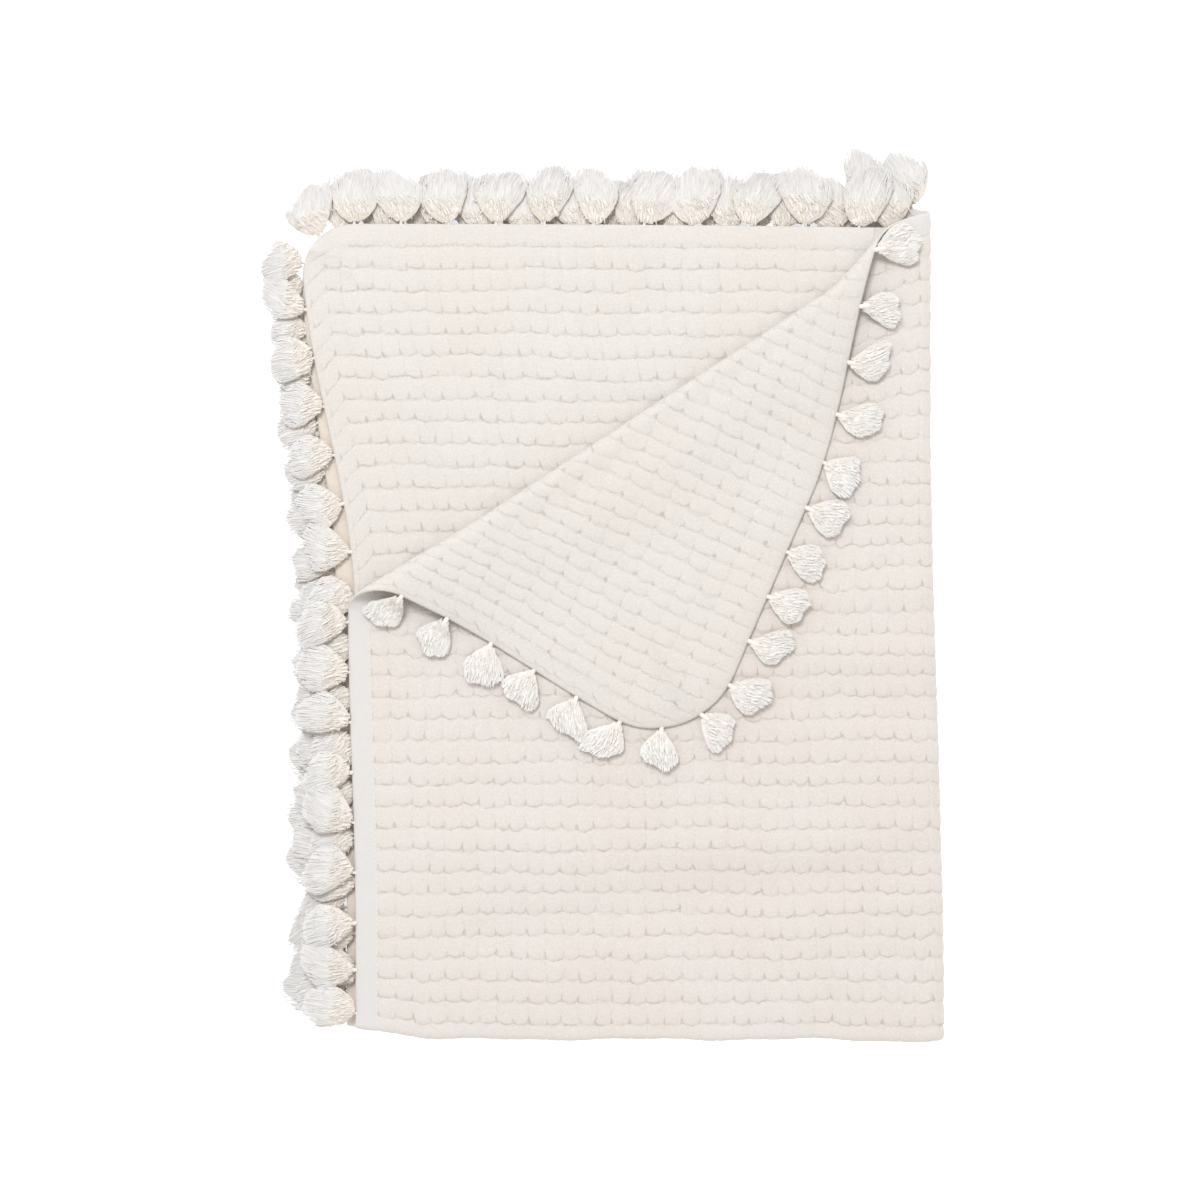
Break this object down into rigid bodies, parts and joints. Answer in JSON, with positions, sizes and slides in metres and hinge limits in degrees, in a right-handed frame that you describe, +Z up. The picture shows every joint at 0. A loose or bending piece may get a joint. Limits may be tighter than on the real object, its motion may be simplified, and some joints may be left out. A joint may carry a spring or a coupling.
{
  "type": "folded waffle baby blanket",
  "caption": "Waffle-weave cotton baby blanket folded in quarters, with a plain hem, a row of tassels along its free edges and its top corner turned back.",
  "frame": {"origin": "middle of the bounding box, at the floor that the folded blanket lies on", "axes": "+Z up, through the layers; +Y along the blanket's longer side, from the bottom fold to the open top hem; +X from the tasselled left hem to the right fold"},
  "size_m": [0.4344, 0.5606, 0.0295],
  "materials": {
    "cloth": "matt cream waffle-weave cotton",
    "tassel_yarn": "matt off-white loose cotton yarn"
  },
  "bodies": {
    "root": {"blanket": "cloth", "tassels_left_1": "tassel_yarn", "tassels_flap_lower": "tassel_yarn", "tassels_flap_right": "tassel_yarn", "tassels_left_2": "tassel_yarn", "tassels_top_2": "tassel_yarn", "tassels_left_3": "tassel_yarn", "tassels_top_3": "tassel_yarn", "tassels_left_4": "tassel_yarn", "tassels_top_4": "tassel_yarn"}
  },
  "joints": []
}
